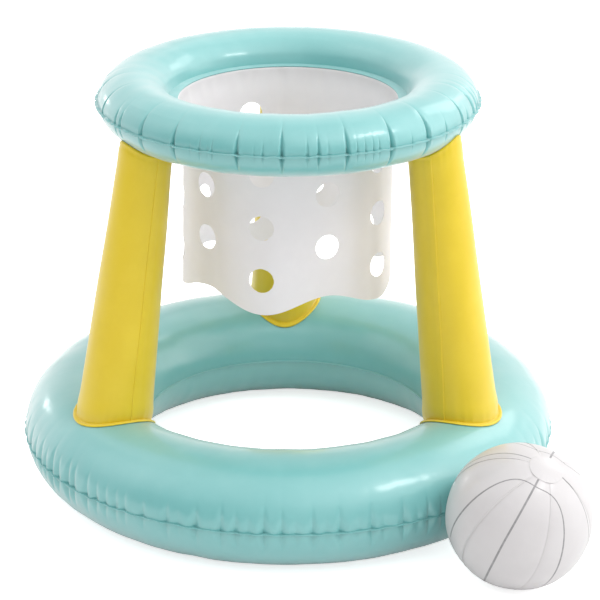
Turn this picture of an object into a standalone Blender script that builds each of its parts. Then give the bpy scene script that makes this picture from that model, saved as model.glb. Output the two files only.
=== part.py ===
"""Floating pool hoop: a ring that floats, three tapered legs, a small top ring with a net skirt, and a ball.

Every inflated piece is a real film shell: two halves of a ring meet at an outer and an inner seam, each leg is
an open tapered tube with a turned-out foot flange, and the ball is six gores. Units are metres and +Z is up.
The origin is on the hoop's axis, in the plane that the base ring stands on. The front of the hoop faces -Y.
"""
import math
from collections import namedtuple

import bmesh
import bpy
from mathutils import Matrix, Vector
from mathutils.geometry import delaunay_2d_cdt

for old_object in list(bpy.data.objects):
    bpy.data.objects.remove(old_object, do_unlink=True)

# Film and seams
FILM = 0.0004               # wall of every inflated piece
WELD_GAP = 0.0003           # between two flat films that are welded face to face
SEAT_GAP = 0.0008           # between a patch and the curved, faceted tube that it lies on
RING_WELD_WIDTH = 0.003     # strip that stands out along a ring's seam

# Base ring
BASE_OUTER_RADIUS = 0.339
BASE_TUBE_HALF_WIDTH = 0.0748
BASE_TUBE_HALF_HEIGHT = 0.0672
BASE_SETTLE = 0.0012        # how far the tube is pressed flat where it stands

# Top ring
TOP_OUTER_RADIUS = 0.2362
TOP_TUBE_HALF_WIDTH = 0.043
TOP_TUBE_HALF_HEIGHT = 0.0356
TOP_CENTRE_HEIGHT = 0.496
LEDGE_WIDTH = 0.0118        # flat strip inside the top ring that carries the net

# Legs
LEG_AZIMUTHS_DEG = {"leg_back": 91.2, "leg_left": 210.0, "leg_right": 330.0}
LEG_FOOT_RADIUS = 0.0468
LEG_HEAD_RADIUS = 0.031
LEG_FOOT_INSET = 0.0127     # from the crest of the base tube towards the axis
LEG_HEAD_OUTSET = 0.0073    # from the crest of the top tube away from the axis
FOOT_FLANGE_WIDTH = 0.0045
HEAD_FLANGE_WIDTH = 0.005
AIR_PORT_RADIUS = 0.006     # lets air from the base ring into each leg

# Net skirt
NET_FILM = 0.0004
NET_WAIST_RADIUS = 0.1293
NET_WAIST_DEPTH = 0.022     # the skirt eases from the ledge to its waist over about this depth
NET_WELD_WIDTH = 0.004
NET_BEND_RADIUS = 0.0015
NET_MEAN_LENGTH = 0.226
NET_HEM_WAVE = 0.0105
NET_FOLD_DEPTH = 0.002
NET_HOLE_RADIUS = 0.0155
NET_HOLE_PITCH = 0.067
NET_LONG_COLUMN_FIRST = 0.0585   # depth of the first hole where a column has three
NET_SHORT_COLUMN_FIRST = 0.0848  # depth of the first hole where a column has two
NET_COLUMN_PAIRS = 5
NET_SIDE_SEAM_DEG = 93.7
NET_ROW_PITCH = 0.034

# Valves
VALVE_FLANGE_RADIUS = 0.013
VALVE_FLANGE_THICKNESS = 0.0006
VALVE_BORE_RADIUS = 0.004
VALVE_STEM_WALL = 0.002
VALVE_CLEARANCE = 0.0003
VALVE_COLLAR_WALL = 0.0012
VALVE_COLLAR_HEIGHT = 0.003
VALVE_SPIGOT_WALL = 0.001
VALVE_SPIGOT_DEPTH = 0.0025
VALVE_HOLE_MARGIN = 0.0006  # between the spigot and the hole in the film
VALVE_TRAVEL = 0.009        # how far the stem pulls out of its collar
VALVE_LIP_WIDTH = 0.0015
VALVE_LIP_THICKNESS = 0.0012
VALVE_STOP_WIDTH = 0.0009
VALVE_HINGE_REACH = 0.0106  # from the bore's axis to the plug's hinge
PLUG_CAP_THICKNESS = 0.0016
PLUG_PEG_LENGTH = 0.0048
PLUG_PEG_DRAFT = 0.0011     # how much thinner the peg is at its tip
FLAP_THICKNESS = 0.0006
FLAP_OVERLAP = 0.0016       # how far the flap covers the stem's end round its bore
BASE_VALVE_PHI_DEG = 35.0   # how high on the tube's outer side the valve sits
TOP_VALVE_PHI_DEG = 24.0
BASE_VALVE_AZIMUTH_DEG = 125.0
TOP_VALVE_AZIMUTH_DEG = 112.0

# Ball
BALL_RADIUS = 0.086
BALL_AZIMUTH_DEG = -50.4
BALL_GORES = 6
BALL_POLE_ELEVATION_DEG = 62.4
BALL_POLE_AZIMUTH_DEG = -48.8
BALL_ROLL_DEG = -59.7
BALL_CAP_RADIUS = 0.021
BALL_POLE_OPENING = 0.0065
BALL_VALVE_LATITUDE_DEG = 20.0
BALL_VALVE_LONGITUDE_DEG = 180.0

# Colours, as linear red, green and blue
TEAL = (0.35, 0.64, 0.66)
YELLOW = (0.68, 0.50, 0.03)
WHITE = (0.75, 0.73, 0.73)
CLEAR_WHITE = (0.66, 0.68, 0.68)

# Facets
BASE_SEGMENTS = 50
TOP_SEGMENTS = 44
LEG_SEGMENTS = 32
FOOT_PATCH_STEPS = 4
VALVE_SEGMENTS = 16
NET_SEGMENTS = 40
NET_HOLE_SEGMENTS = 12
BASE_ARC_STEPS = 8
TOP_ARC_STEPS = 8
GORE_STEPS_AROUND = 4
GORE_STEPS_ALONG = 12
BALL_CAP_STEPS = 3

Ring = namedtuple("Ring", "mid_radius half_width half_height height")

BASE_RING = Ring(
    BASE_OUTER_RADIUS - RING_WELD_WIDTH - BASE_TUBE_HALF_WIDTH,
    BASE_TUBE_HALF_WIDTH,
    BASE_TUBE_HALF_HEIGHT,
    BASE_TUBE_HALF_HEIGHT - BASE_SETTLE,
)
TOP_RING = Ring(
    TOP_OUTER_RADIUS - RING_WELD_WIDTH - TOP_TUBE_HALF_WIDTH,
    TOP_TUBE_HALF_WIDTH,
    TOP_TUBE_HALF_HEIGHT,
    TOP_CENTRE_HEIGHT,
)
LEDGE_INNER_RADIUS = TOP_RING.mid_radius - TOP_RING.half_width - LEDGE_WIDTH


# Materials and mesh builders


def make_material(name, color, roughness):
    material = bpy.data.materials.new(name)
    material.use_nodes = True
    shader = material.node_tree.nodes["Principled BSDF"]
    shader.inputs["Base Color"].default_value = (*color, 1.0)
    shader.inputs["Roughness"].default_value = roughness
    shader.inputs["Metallic"].default_value = 0.0
    return material


def add_object(name, verts, faces, color, roughness=0.35):
    """Make one closed body from points and faces, with its faces turned outwards."""
    mesh = bpy.data.meshes.new(name)
    body = bmesh.new()
    corners = [body.verts.new(point) for point in verts]
    for face in faces:
        body.faces.new([corners[index] for index in face])
    bmesh.ops.recalc_face_normals(body, faces=body.faces)
    if body.calc_volume(signed=True) < 0.0:
        bmesh.ops.reverse_faces(body, faces=body.faces)
    body.to_mesh(mesh)
    body.free()
    mesh.shade_smooth()
    mesh.set_sharp_from_angle(angle=math.radians(40.0))
    obj = bpy.data.objects.new(name, mesh)
    bpy.context.scene.collection.objects.link(obj)
    mesh.materials.append(make_material(name, color, roughness))
    return obj


def band_faces(first, second, count):
    """Triangles between two closed loops of points that start at the given indices."""
    faces = []
    for i in range(count):
        ahead = (i + 1) % count
        faces += [(first + i, first + ahead, second + ahead), (first + i, second + ahead, second + i)]
    return faces


def closed_sweep(name, sections, color, roughness=0.35):
    """Join closed sections into a body that runs all the way round."""
    size = len(sections[0])
    verts = [point for section in sections for point in section]
    faces = []
    for index in range(len(sections)):
        faces += band_faces(index * size, (index + 1) % len(sections) * size, size)
    return add_object(name, verts, faces, color, roughness)


def capped_sweep(name, loops, color, roughness=0.35):
    """Stack closed loops and close both ends with fans round a middle point."""
    size = len(loops[0])
    verts = [point for loop in loops for point in loop]
    faces = []
    for index in range(len(loops) - 1):
        faces += band_faces(index * size, (index + 1) * size, size)
    for start in (0, (len(loops) - 1) * size):
        middle = len(verts)
        loop = verts[start:start + size]
        verts.append(sum(loop, Vector()) / size)
        faces += [(middle, start + i, start + (i + 1) % size) for i in range(size)]
    return add_object(name, verts, faces, color, roughness)


def sheet_body(name, front, back, faces, color, roughness=0.35):
    """Thicken a sheet: a front skin, a back skin and a rim along every free edge."""
    count = len(front)
    uses = {}
    for face in faces:
        for i, start in enumerate(face):
            end = face[(i + 1) % len(face)]
            uses.setdefault(frozenset((start, end)), []).append((start, end))
    body = [tuple(face) for face in faces]
    body += [tuple(count + index for index in reversed(face)) for face in faces]
    body += [(end, start, count + start, count + end) for (start, end), *other in uses.values() if not other]
    return add_object(name, front + back, body, color, roughness)


def cut_round_hole(obj, centre, direction, radius, length):
    """Take a round hole out of a film with a Boolean."""
    mesh = bpy.data.meshes.new(obj.name + "_cutter")
    body = bmesh.new()
    bmesh.ops.create_cone(
        body, cap_ends=True, segments=VALVE_SEGMENTS, radius1=radius, radius2=radius, depth=length
    )
    body.to_mesh(mesh)
    body.free()
    cutter = bpy.data.objects.new(mesh.name, mesh)
    bpy.context.scene.collection.objects.link(cutter)
    turn = direction.to_track_quat("Z", "Y").to_matrix().to_4x4()
    cutter.matrix_world = Matrix.Translation(centre) @ turn
    cutter.hide_render = True
    cutter.display_type = "WIRE"
    cut = obj.modifiers.new("round hole", "BOOLEAN")
    cut.operation = "DIFFERENCE"
    cut.solver = "EXACT"
    cut.object = cutter


def spread(start, end, steps):
    return [start + (end - start) * i / steps for i in range(steps + 1)]


def around(count):
    return [2 * math.pi * i / count for i in range(count)]


# Surfaces


def ring_point(ring, azimuth, phi, lift):
    """Point on a ring's tube, phi up from its outer side, lifted off the surface along its normal."""
    normal_out = math.cos(phi) / ring.half_width
    normal_up = math.sin(phi) / ring.half_height
    length = math.hypot(normal_out, normal_up)
    radius = ring.mid_radius + ring.half_width * math.cos(phi) + lift * normal_out / length
    height = ring.height + ring.half_height * math.sin(phi) + lift * normal_up / length
    return Vector((radius * math.cos(azimuth), radius * math.sin(azimuth), height))


def crest_point(ring, x, y, lift, side):
    """Point on the upper (side 1) or lower (side -1) half of a ring's tube, over or under a place in plan."""
    across_share = (math.hypot(x, y) - ring.mid_radius) / ring.half_width
    phi = side * math.acos(max(-1.0, min(1.0, across_share)))
    return ring_point(ring, math.atan2(y, x), phi, lift)


# Rings


def film_section(ring, side, inner_strip, arc_steps, flat_height=None):
    """Closed section, as radius and height, of one half of a ring with a weld strip at each seam."""
    seam = WELD_GAP / 2

    def arc(first_phi, lift):
        if flat_height is None:
            angles = spread(first_phi, math.pi - first_phi, 2 * arc_steps)
        else:
            flat_phi = math.asin(flat_height / ring.half_height)
            angles = spread(first_phi, flat_phi, arc_steps)
            angles += spread(math.pi - flat_phi, math.pi - first_phi, arc_steps)
        points = [ring_point(ring, 0.0, side * phi, lift) for phi in angles]
        return [(point.x, point.z) for point in points]

    outer_tip = ring.mid_radius + ring.half_width + RING_WELD_WIDTH
    inner_tip = ring.mid_radius - ring.half_width - inner_strip
    near = ring.height + side * seam
    far = ring.height + side * (seam + FILM)
    section = [(outer_tip, near), (outer_tip, far)]
    section += arc(math.asin((seam + FILM) / ring.half_height), 0.0)
    section += [(inner_tip, far), (inner_tip, near)]
    section += reversed(arc(math.asin(seam / ring.half_height), -FILM))
    return section


def turn_section(name, section, segments, color):
    sections = []
    for azimuth in around(segments):
        sections.append([Vector((r * math.cos(azimuth), r * math.sin(azimuth), z)) for r, z in section])
    return closed_sweep(name, sections, color)


def make_base_ring():
    upper = film_section(BASE_RING, 1, RING_WELD_WIDTH, BASE_ARC_STEPS // 2)
    lower = film_section(BASE_RING, -1, RING_WELD_WIDTH, BASE_ARC_STEPS // 2, BASE_RING.height)
    upper_film = turn_section("base_ring_upper_film", upper, BASE_SEGMENTS, TEAL)
    turn_section("base_ring_lower_film", lower, BASE_SEGMENTS, TEAL)
    for azimuth_deg in LEG_AZIMUTHS_DEG.values():
        foot = leg_foot_centre(azimuth_deg)
        port = crest_point(BASE_RING, foot.x, foot.y, 0.0, 1)
        cut_round_hole(upper_film, port, Vector((0.0, 0.0, 1.0)), AIR_PORT_RADIUS, 2 * VALVE_FLANGE_RADIUS)
    return upper_film


def make_top_ring():
    upper = film_section(TOP_RING, 1, LEDGE_WIDTH, TOP_ARC_STEPS // 2)
    lower = film_section(TOP_RING, -1, LEDGE_WIDTH, TOP_ARC_STEPS // 2)
    upper_film = turn_section("top_ring_upper_film", upper, TOP_SEGMENTS, TEAL)
    turn_section("top_ring_lower_film", lower, TOP_SEGMENTS, TEAL)
    return upper_film


# Legs


def leg_foot_centre(azimuth_deg):
    azimuth = math.radians(azimuth_deg)
    reach = BASE_RING.mid_radius - LEG_FOOT_INSET
    return Vector((reach * math.cos(azimuth), reach * math.sin(azimuth), 0.0))


def leg_head_centre(azimuth_deg):
    azimuth = math.radians(azimuth_deg)
    reach = TOP_RING.mid_radius + LEG_HEAD_OUTSET
    return Vector((reach * math.cos(azimuth), reach * math.sin(azimuth), 0.0))


def foot_point(centre, angle, radius, lift):
    x = centre.x + radius * math.cos(angle)
    y = centre.y + radius * math.sin(angle)
    return crest_point(BASE_RING, x, y, lift, 1)


def head_point(centre, angle, radius, lift):
    x = centre.x + radius * math.cos(angle)
    y = centre.y + radius * math.sin(angle)
    return crest_point(TOP_RING, x, y, lift, -1)


def make_leg(name, azimuth_deg):
    """A reinforcing patch on the base ring, and the tapered tube that stands on it."""
    foot = leg_foot_centre(azimuth_deg)
    head = leg_head_centre(azimuth_deg)
    patch_low = SEAT_GAP
    patch_high = patch_low + FILM
    flange_low = patch_high + WELD_GAP
    flange_high = flange_low + FILM
    head_low = SEAT_GAP
    head_high = SEAT_GAP + FILM
    foot_edge = LEG_FOOT_RADIUS + FOOT_FLANGE_WIDTH
    head_edge = LEG_HEAD_RADIUS - HEAD_FLANGE_WIDTH

    radii = spread(AIR_PORT_RADIUS, LEG_FOOT_RADIUS, FOOT_PATCH_STEPS) + [foot_edge]
    patch = []
    for angle in around(LEG_SEGMENTS):
        under = [foot_point(foot, angle, radius, patch_low) for radius in radii]
        over = [foot_point(foot, angle, radius, patch_high) for radius in radii]
        patch.append(under + over[::-1])
    closed_sweep(name + "_foot_patch", patch, YELLOW)

    # The tube runs the other way round, so that its flange is split along the same diagonals as the patch.
    tube = []
    for angle in reversed(around(LEG_SEGMENTS)):
        tube.append([
            foot_point(foot, angle, foot_edge, flange_low),
            foot_point(foot, angle, foot_edge, flange_high),
            foot_point(foot, angle, LEG_FOOT_RADIUS, flange_high),
            head_point(head, angle, LEG_HEAD_RADIUS, head_low),
            head_point(head, angle, head_edge, head_low),
            head_point(head, angle, head_edge, head_high),
            head_point(head, angle, LEG_HEAD_RADIUS - FILM, head_high),
            foot_point(foot, angle, LEG_FOOT_RADIUS - FILM, flange_low),
        ])
    closed_sweep(name + "_film", tube, YELLOW)


# Net skirt


def net_path(depth):
    """Radius, height and facing of the skirt's section at a length along it, from its weld strip to its hem."""
    top = TOP_RING.height - WELD_GAP / 2 - FILM - WELD_GAP - NET_FILM / 2
    top_radius = LEDGE_INNER_RADIUS - WELD_GAP - NET_FILM / 2
    bend_length = NET_BEND_RADIUS * math.pi / 2
    if depth < 0.0:
        return top_radius + NET_BEND_RADIUS - depth, top, 0.0, 1.0
    if depth < bend_length:
        turn = depth / NET_BEND_RADIUS
        radius = top_radius + NET_BEND_RADIUS * (1 - math.sin(turn))
        height = top - NET_BEND_RADIUS * (1 - math.cos(turn))
        return radius, height, -math.sin(turn), math.cos(turn)
    drop = depth - bend_length
    ease_share = math.exp(-((drop / NET_WAIST_DEPTH) ** 2))
    radius = NET_WAIST_RADIUS + (top_radius - NET_WAIST_RADIUS) * ease_share
    return radius, top - NET_BEND_RADIUS - drop, -1.0, 0.0


def net_wave(azimuth):
    """One where a column of three holes makes the hem hang low, minus one between."""
    column_angle = math.pi / NET_COLUMN_PAIRS
    start = math.radians(NET_SIDE_SEAM_DEG) + column_angle / 2
    return math.cos(NET_COLUMN_PAIRS * (azimuth - start))


def net_point(azimuth, depth, lift):
    """Point on the hanging skirt, lifted towards its inner face."""
    radius, height, facing_out, facing_up = net_path(depth)
    if depth > 0.0:
        radius += NET_FOLD_DEPTH * net_wave(azimuth) * (depth / NET_MEAN_LENGTH) ** 2
    radius += lift * facing_out
    height += lift * facing_up
    return Vector((radius * math.cos(azimuth), radius * math.sin(azimuth), height))


def net_hem_depth(azimuth):
    return NET_MEAN_LENGTH + NET_HEM_WAVE * net_wave(azimuth)


def net_hole_centres():
    """Place of each hole in the flat cut of the skirt: azimuth and depth."""
    columns = 2 * NET_COLUMN_PAIRS
    column_angle = 2 * math.pi / columns
    centres = []
    for column in range(columns):
        azimuth = (column + 0.5) * column_angle
        long_column = column % 2 == 0
        first = NET_LONG_COLUMN_FIRST if long_column else NET_SHORT_COLUMN_FIRST
        centres += [(azimuth, first + NET_HOLE_PITCH * row) for row in range(3 if long_column else 2)]
    return centres


def make_net_skirt():
    """The skirt is cut flat with its holes, rolled into a tube and folded out over its weld strip."""
    seam_angle = math.radians(NET_SIDE_SEAM_DEG)
    holes = net_hole_centres()
    bend_length = NET_BEND_RADIUS * math.pi / 2
    stations = spread(0.0, 2 * math.pi, NET_SEGMENTS)
    straight_rows = [-NET_WELD_WIDTH, 0.0, bend_length / 2, bend_length]
    points = []
    edges = []

    def hem_at(angle):
        return net_hem_depth(seam_angle + angle)

    def flat_point(angle, depth):
        points.append(Vector((angle * NET_WAIST_RADIUS, depth)))
        return len(points) - 1

    def add_line(indices):
        edges.extend(zip(indices, indices[1:]))

    for depth in straight_rows:
        add_line([flat_point(angle, depth) for angle in stations])
    add_line([flat_point(angle, hem_at(angle)) for angle in stations])
    deepest = NET_MEAN_LENGTH + NET_HEM_WAVE
    inner_rows = spread(bend_length, deepest, round(deepest / NET_ROW_PITCH))[1:]
    for depth in inner_rows:
        for angle in stations:
            clear_of_hem = depth < hem_at(angle) - NET_ROW_PITCH / 3
            spots = ((Vector(((angle - a) * NET_WAIST_RADIUS, depth - d))).length for a, d in holes)
            if clear_of_hem and min(spots) > NET_HOLE_RADIUS * 1.3:
                flat_point(angle, depth)
    for azimuth, depth in holes:
        ring = []
        for angle in around(NET_HOLE_SEGMENTS):
            across = NET_HOLE_RADIUS * math.cos(angle) / NET_WAIST_RADIUS
            ring.append(flat_point(azimuth + across, depth + NET_HOLE_RADIUS * math.sin(angle)))
        add_line(ring + ring[:1])

    epsilon = NET_FILM / 100
    flat, _, triangles, _, _, _ = delaunay_2d_cdt(points, edges, [], 0, epsilon)
    width = 2 * math.pi * NET_WAIST_RADIUS
    left = {round(p.y / NET_FILM): i for i, p in enumerate(flat) if p.x < NET_FILM}
    joined = [left[round(p.y / NET_FILM)] if p.x > width - NET_FILM else i for i, p in enumerate(flat)]
    faces = []
    for triangle in triangles:
        centre = sum((flat[i] for i in triangle), Vector((0.0, 0.0))) / len(triangle)
        angle = centre.x / NET_WAIST_RADIUS
        in_hole = any(
            Vector(((angle - a) * NET_WAIST_RADIUS, centre.y - d)).length < NET_HOLE_RADIUS * 0.97
            for a, d in holes
        )
        step = 2 * math.pi / NET_SEGMENTS
        before = math.floor(angle / step) * step
        blend_share = (angle - before) / step
        hem = hem_at(before) * (1 - blend_share) + hem_at(before + step) * blend_share
        if not in_hole and centre.y < hem:
            faces.append([joined[i] for i in triangle])
    used = sorted({i for face in faces for i in face})
    place = {old: new for new, old in enumerate(used)}
    faces = [[place[i] for i in face] for face in faces]
    polar = [(seam_angle + flat[i].x / NET_WAIST_RADIUS, flat[i].y) for i in used]
    front = [net_point(azimuth, depth, NET_FILM / 2) for azimuth, depth in polar]
    back = [net_point(azimuth, depth, -NET_FILM / 2) for azimuth, depth in polar]
    sheet_body("net_skirt", front, back, faces, WHITE, 0.4)


# Valves


def make_valve(prefix, film_object, surface):
    """A valve on a curved film: welded seat, push-in stem, hinged plug and one-way flap.

    surface(across, along, lift) gives the film's skin round the valve. The along direction is up the slope,
    and the plug's hinge is on that side.
    """
    centre = surface(0.0, 0.0, 0.0)
    normal = (surface(0.0, 0.0, FILM) - centre).normalized()
    along = (surface(0.0, FILM, 0.0) - centre).normalized()
    along = (along - normal * along.dot(normal)).normalized()
    across = along.cross(normal)

    def plane_point(angle, radius, height):
        return centre + along * radius * math.cos(angle) + across * radius * math.sin(angle) + normal * height

    def skin_point(angle, radius, lift):
        return surface(radius * math.sin(angle), radius * math.cos(angle), lift)

    def round_loop(radius, height):
        return [plane_point(angle, radius, height) for angle in around(VALVE_SEGMENTS)]

    def tabbed_loop(radius, reach, height):
        """A round outline with a flat-ended tab along the hinge side."""
        loop = []
        for index, angle in enumerate(around(VALVE_SEGMENTS)):
            on_tab = index in (0, 1, VALVE_SEGMENTS - 1)
            loop.append(plane_point(angle, reach / math.cos(angle) if on_tab else radius, height))
        return loop

    stem_radius = VALVE_BORE_RADIUS + VALVE_STEM_WALL
    collar_bore = stem_radius + VALVE_CLEARANCE
    spigot_radius = collar_bore + VALVE_SPIGOT_WALL
    collar_radius = collar_bore + VALVE_COLLAR_WALL
    hole_radius = spigot_radius + VALVE_HOLE_MARGIN
    flange_low = SEAT_GAP
    flange_high = SEAT_GAP + VALVE_FLANGE_THICKNESS

    seat = []
    for angle in around(VALVE_SEGMENTS):
        seat.append([
            skin_point(angle, VALVE_FLANGE_RADIUS, flange_low),
            skin_point(angle, VALVE_FLANGE_RADIUS, flange_high),
            skin_point(angle, collar_radius, flange_high),
            plane_point(angle, collar_radius, VALVE_COLLAR_HEIGHT),
            plane_point(angle, collar_bore, VALVE_COLLAR_HEIGHT),
            plane_point(angle, collar_bore, -VALVE_SPIGOT_DEPTH),
            plane_point(angle, spigot_radius, -VALVE_SPIGOT_DEPTH),
            skin_point(angle, spigot_radius, flange_low),
        ])
    closed_sweep(prefix + "_valve_seat", seat, CLEAR_WHITE)
    cut_round_hole(film_object, centre, normal, hole_radius, 2 * VALVE_FLANGE_RADIUS)

    lip_low = VALVE_COLLAR_HEIGHT + VALVE_CLEARANCE
    lip_high = lip_low + VALVE_LIP_THICKNESS
    stop_high = -VALVE_SPIGOT_DEPTH - VALVE_CLEARANCE - VALVE_TRAVEL
    stop_low = stop_high - VALVE_LIP_THICKNESS
    lip_radius = stem_radius + VALVE_LIP_WIDTH
    stem_reach = VALVE_HINGE_REACH + VALVE_CLEARANCE
    loops = [
        round_loop(VALVE_BORE_RADIUS, lip_high),
        tabbed_loop(lip_radius, stem_reach, lip_high),
        tabbed_loop(lip_radius, stem_reach, lip_low),
        round_loop(stem_radius, lip_low),
        round_loop(stem_radius, stop_high),
        round_loop(stem_radius + VALVE_STOP_WIDTH, stop_high),
        round_loop(stem_radius + VALVE_STOP_WIDTH, stop_low),
        round_loop(VALVE_BORE_RADIUS, stop_low),
    ]
    stem = [[loop[index] for loop in loops] for index in range(VALVE_SEGMENTS)]
    closed_sweep(prefix + "_valve_stem", stem, CLEAR_WHITE)

    cap_low = lip_high + VALVE_CLEARANCE
    cap_high = cap_low + PLUG_CAP_THICKNESS
    peg_radius = VALVE_BORE_RADIUS - VALVE_CLEARANCE
    plug = [
        round_loop(peg_radius - PLUG_PEG_DRAFT, cap_low - PLUG_PEG_LENGTH),
        round_loop(peg_radius, cap_low),
        tabbed_loop(lip_radius, VALVE_HINGE_REACH, cap_low),
        tabbed_loop(lip_radius, VALVE_HINGE_REACH, cap_high),
    ]
    capped_sweep(prefix + "_valve_plug", plug, CLEAR_WHITE)

    flap_high = stop_low - VALVE_CLEARANCE
    flap_radius = VALVE_BORE_RADIUS + FLAP_OVERLAP
    flap = [round_loop(flap_radius, flap_high - FLAP_THICKNESS), round_loop(flap_radius, flap_high)]
    capped_sweep(prefix + "_valve_flap", flap, CLEAR_WHITE)
    return {
        "out": normal,
        "hinge_axis": normal.cross(along),
        "plug_hinge": plane_point(0.0, VALVE_HINGE_REACH, cap_low),
        "flap_hinge": plane_point(math.pi, flap_radius, flap_high),
    }


def ring_valve_surface(ring, azimuth_deg, phi_deg):
    """Skin of a ring's tube round a valve, as a function of two short distances and a lift."""
    azimuth = math.radians(azimuth_deg)
    phi = math.radians(phi_deg)
    radius = ring.mid_radius + ring.half_width * math.cos(phi)
    phi_length = math.hypot(ring.half_width * math.sin(phi), ring.half_height * math.cos(phi))

    def surface(across, along, lift):
        return ring_point(ring, azimuth + across / radius, phi + along / phi_length, lift)

    return surface


# Ball


def ball_centre():
    """The ball stands on the floor, beside the base ring and just clear of its tube and of its seam strip."""
    rise = BALL_RADIUS - BASE_RING.height
    tube_reach = BASE_RING.half_width + BALL_RADIUS
    beside_tube = BASE_RING.mid_radius + math.sqrt(tube_reach ** 2 - rise ** 2)
    beside_strip = BASE_OUTER_RADIUS + math.sqrt(BALL_RADIUS ** 2 - rise ** 2)
    distance = max(beside_tube, beside_strip) + SEAT_GAP
    azimuth = math.radians(BALL_AZIMUTH_DEG)
    return Vector((distance * math.cos(azimuth), distance * math.sin(azimuth), BALL_RADIUS))


def ball_frame():
    """Turn of the ball: its third axis is the pole, its first is longitude zero."""
    elevation = math.radians(BALL_POLE_ELEVATION_DEG)
    azimuth = math.radians(BALL_POLE_AZIMUTH_DEG)
    pole_down = math.pi / 2 - elevation
    turn = Matrix.Rotation(azimuth, 3, "Z") @ Matrix.Rotation(pole_down, 3, "Y")
    return turn @ Matrix.Rotation(math.radians(BALL_ROLL_DEG), 3, "Z")


def ball_point(latitude, longitude, lift):
    across = math.cos(latitude)
    spot = Vector((across * math.cos(longitude), across * math.sin(longitude), math.sin(latitude)))
    return ball_centre() + ball_frame() @ spot * (BALL_RADIUS + lift)


def make_gore(index):
    """One of the ball's panels, from one pole opening to the other, clear of its neighbours by a weld gap."""
    middle = 2 * math.pi * index / BALL_GORES
    half_angle = math.pi / BALL_GORES
    end = math.pi / 2 - BALL_POLE_OPENING / BALL_RADIUS
    front = []
    back = []
    for latitude in spread(-end, end, GORE_STEPS_ALONG):
        half = half_angle - WELD_GAP / 2 / (BALL_RADIUS * math.cos(latitude))
        for longitude in spread(middle - half, middle + half, GORE_STEPS_AROUND):
            front.append(ball_point(latitude, longitude, 0.0))
            back.append(ball_point(latitude, longitude, -FILM))
    row = GORE_STEPS_AROUND + 1
    faces = []
    for j in range(GORE_STEPS_ALONG):
        for i in range(GORE_STEPS_AROUND):
            corner = j * row + i
            faces.append((corner, corner + 1, corner + 1 + row, corner + row))
    return sheet_body("ball_gore_%d" % (index + 1), front, back, faces, WHITE, 0.4)


def make_ball_cap(name, side):
    """A round patch that covers the points of the gores at one pole."""
    cap_angle = BALL_CAP_RADIUS / BALL_RADIUS
    loops = []
    polar_steps = spread(1.0, 0.0, BALL_CAP_STEPS)[:-1]
    for lift, polar_shares in ((SEAT_GAP, polar_steps[::-1]), (SEAT_GAP + FILM, polar_steps)):
        for polar_share in polar_shares:
            latitude = side * (math.pi / 2 - cap_angle * polar_share)
            loops.append([ball_point(latitude, angle, lift) for angle in around(VALVE_SEGMENTS)])
    capped_sweep(name, loops, WHITE, 0.4)


def make_ball():
    gores = [make_gore(index) for index in range(BALL_GORES)]
    make_ball_cap("ball_cap_upper", 1)
    make_ball_cap("ball_cap_lower", -1)
    latitude = math.radians(BALL_VALVE_LATITUDE_DEG)
    longitude = math.radians(BALL_VALVE_LONGITUDE_DEG)

    def surface(across, along, lift):
        return ball_point(
            latitude + along / BALL_RADIUS, longitude + across / (BALL_RADIUS * math.cos(latitude)), lift
        )

    panel = round(longitude / (2 * math.pi / BALL_GORES)) % BALL_GORES
    return make_valve("ball", gores[panel], surface)


def main():
    base_film = make_base_ring()
    top_film = make_top_ring()
    for name, azimuth_deg in LEG_AZIMUTHS_DEG.items():
        make_leg(name, azimuth_deg)
    make_net_skirt()
    valves = {
        "base": make_valve(
            "base", base_film, ring_valve_surface(BASE_RING, BASE_VALVE_AZIMUTH_DEG, BASE_VALVE_PHI_DEG)
        ),
        "top": make_valve(
            "top", top_film, ring_valve_surface(TOP_RING, TOP_VALVE_AZIMUTH_DEG, TOP_VALVE_PHI_DEG)
        ),
        "ball": make_ball(),
    }
    for prefix, joint in valves.items():
        for what, place in joint.items():
            print(prefix, what, " ".join("%.6f" % value for value in place))


main()
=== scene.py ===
"""Looks of the floating pool hoop: fine film surfaces, materials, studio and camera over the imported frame.

Lengths are metres and angles radians, unless a name or a comment says otherwise. The first block repeats
sizes of the CAD, because this script reads no other file.
"""
import math
from collections import namedtuple
from math import radians

import bpy
import numpy as np
from mathutils import Matrix, Vector
from mathutils.geometry import delaunay_2d_cdt


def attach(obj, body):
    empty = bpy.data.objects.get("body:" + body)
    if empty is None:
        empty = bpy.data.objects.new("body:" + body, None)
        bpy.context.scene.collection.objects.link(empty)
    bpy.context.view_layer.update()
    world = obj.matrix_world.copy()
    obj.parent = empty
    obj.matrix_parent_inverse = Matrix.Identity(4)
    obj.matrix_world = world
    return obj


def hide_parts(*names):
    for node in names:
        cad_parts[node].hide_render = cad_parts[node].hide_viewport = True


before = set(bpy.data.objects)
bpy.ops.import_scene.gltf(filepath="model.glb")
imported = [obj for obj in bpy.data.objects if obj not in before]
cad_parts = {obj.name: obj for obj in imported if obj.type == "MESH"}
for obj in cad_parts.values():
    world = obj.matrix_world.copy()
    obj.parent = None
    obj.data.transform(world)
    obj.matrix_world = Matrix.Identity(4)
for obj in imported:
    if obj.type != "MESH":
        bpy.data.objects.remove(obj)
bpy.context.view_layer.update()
rng = np.random.default_rng(7)

# Sizes of the CAD

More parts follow.
